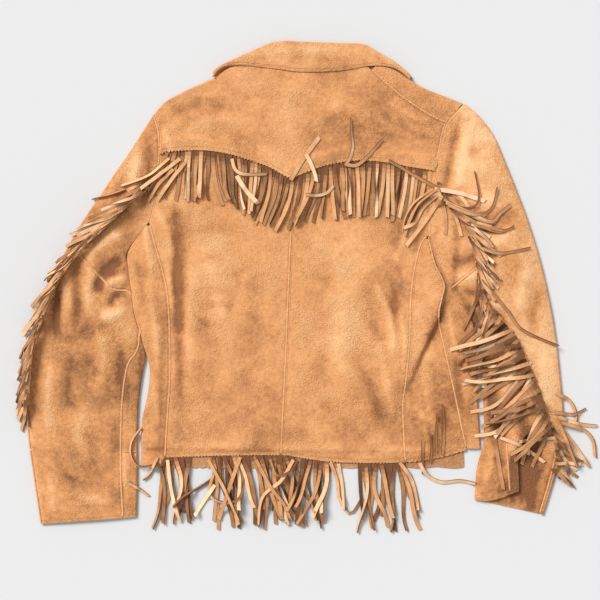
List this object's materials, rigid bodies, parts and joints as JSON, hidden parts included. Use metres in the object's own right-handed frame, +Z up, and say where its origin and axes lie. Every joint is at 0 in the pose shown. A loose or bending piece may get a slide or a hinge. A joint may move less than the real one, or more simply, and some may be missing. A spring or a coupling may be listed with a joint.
{
  "type": "fringed buckskin jacket",
  "caption": "Waist-length buckskin jacket with a pinked western back yoke and leather fringe at the yoke, sleeves and hem, laid flat with its back up.",
  "frame": {"origin": "on the floor under the right front panel, in the middle of the laid jacket", "axes": "+Z up from the floor, +Y along the back towards the collar, +X towards the wearer's right sleeve"},
  "size_m": [0.8774, 0.7353, 0.0213],
  "materials": {
    "buckskin": "napped tan buckskin, matt, softly mottled",
    "sleeve_buckskin": "napped tan buckskin, matt, darker and more worn at the elbows and cuffs",
    "fringe": "cut buckskin strands, pale nap on one face and darker cut edges"
  },
  "bodies": {
    "root": {"back_centre_left": "buckskin", "back_centre_right": "buckskin", "back_side_left": "buckskin", "back_side_right": "buckskin", "back_yoke": "buckskin", "collar": "buckskin", "collar_wing_left": "buckskin", "collar_wing_right": "buckskin", "front_edge_strip_right": "fringe", "front_left": "buckskin", "front_right": "buckskin", "front_shoulder_right": "buckskin", "front_side_right": "buckskin", "hem_fringe_centre": "fringe", "hem_fringe_left": "fringe", "hem_fringe_mid_left": "fringe", "hem_fringe_mid_right": "fringe", "hem_fringe_right": "fringe", "sleeve_fringe_left_lower": "fringe", "sleeve_fringe_left_upper": "fringe", "sleeve_fringe_right_cuff": "fringe", "sleeve_fringe_right_lower": "fringe", "sleeve_fringe_right_upper": "fringe", "sleeve_left_top": "sleeve_buckskin", "sleeve_left_top_cuff": "sleeve_buckskin", "sleeve_left_under_lower": "sleeve_buckskin", "sleeve_left_under_upper": "sleeve_buckskin", "sleeve_right_top": "sleeve_buckskin", "sleeve_right_top_cuff": "sleeve_buckskin", "sleeve_right_under_lower": "sleeve_buckskin", "sleeve_right_under_upper": "sleeve_buckskin", "yoke_fringe": "fringe"}
  },
  "joints": []
}
